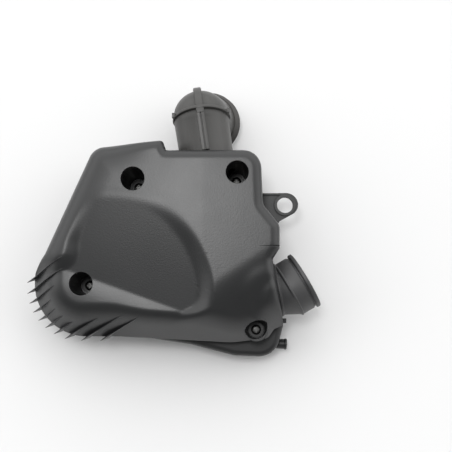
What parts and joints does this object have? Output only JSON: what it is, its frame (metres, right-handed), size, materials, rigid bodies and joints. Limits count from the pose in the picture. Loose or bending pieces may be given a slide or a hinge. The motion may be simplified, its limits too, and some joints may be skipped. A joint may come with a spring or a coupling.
{
  "type": "air filter housing",
  "caption": "Moulded air filter housing with a screwed cover over a foam filter, an intake elbow with a rubber bellows and a clamp-on rubber outlet boot.",
  "frame": {"origin": "middle of the footprint, at the back ribs the housing lies on", "axes": "+X towards the carburettor boot, +Y towards the intake elbow, +Z out through the cover"},
  "size_m": [0.2498, 0.2334, 0.085],
  "materials": {
    "cover_plastic": "moulded, satin",
    "case_plastic": "moulded, satin",
    "inner_plastic": "moulded, satin",
    "elbow_plastic": "moulded, matt",
    "boot_rubber": "matt",
    "bellows_rubber": "matt",
    "seal_rubber": "matt",
    "foam": "open-cell foam",
    "screw_steel": "zinc plated",
    "washer_black": "black plated"
  },
  "bodies": {
    "case": {"rear_case": "case_plastic", "rim_seal_long": "seal_rubber", "rim_seal_short": "seal_rubber", "filter_carrier": "inner_plastic", "outlet_hood": "inner_plastic", "outlet_boot": "boot_rubber", "boot_sleeve": "inner_plastic", "intake_elbow": "elbow_plastic", "intake_seal": "seal_rubber", "intake_bellows": "bellows_rubber"},
    "cover": {"outer_cover": "cover_plastic"},
    "filter": {"foam_element": "foam", "foam_retainer": "inner_plastic"},
    "screw_1": {"cover_screw_1": "screw_steel", "screw_washer_1": "washer_black"},
    "screw_2": {"cover_screw_2": "screw_steel", "screw_washer_2": "washer_black"},
    "screw_3": {"cover_screw_3": "screw_steel", "screw_washer_3": "washer_black"},
    "screw_4": {"cover_screw_4": "screw_steel", "screw_washer_4": "washer_black"}
  },
  "joints": [
    {"name": "cover_lift", "type": "slide", "parent": "case", "child": "cover", "axis": [0, 0, 1], "range_m": [0, 0.11]},
    {"name": "filter_lift", "type": "slide", "parent": "case", "child": "filter", "axis": [0, 0, 1], "range_m": [0, 0.044]},
    {"name": "screw_1_out", "type": "slide", "parent": "cover", "child": "screw_1", "axis": [0, 0, 1], "range_m": [0, 0.085]},
    {"name": "screw_2_out", "type": "slide", "parent": "cover", "child": "screw_2", "axis": [0, 0, 1], "range_m": [0, 0.085]},
    {"name": "screw_3_out", "type": "slide", "parent": "cover", "child": "screw_3", "axis": [0, 0, 1], "range_m": [0, 0.085]},
    {"name": "screw_4_out", "type": "slide", "parent": "cover", "child": "screw_4", "axis": [0, 0, 1], "range_m": [0, 0.045]}
  ],
  "couplings": [
    {"joint": "filter_lift", "follows": "cover_lift", "ratio": 0.4}
  ]
}
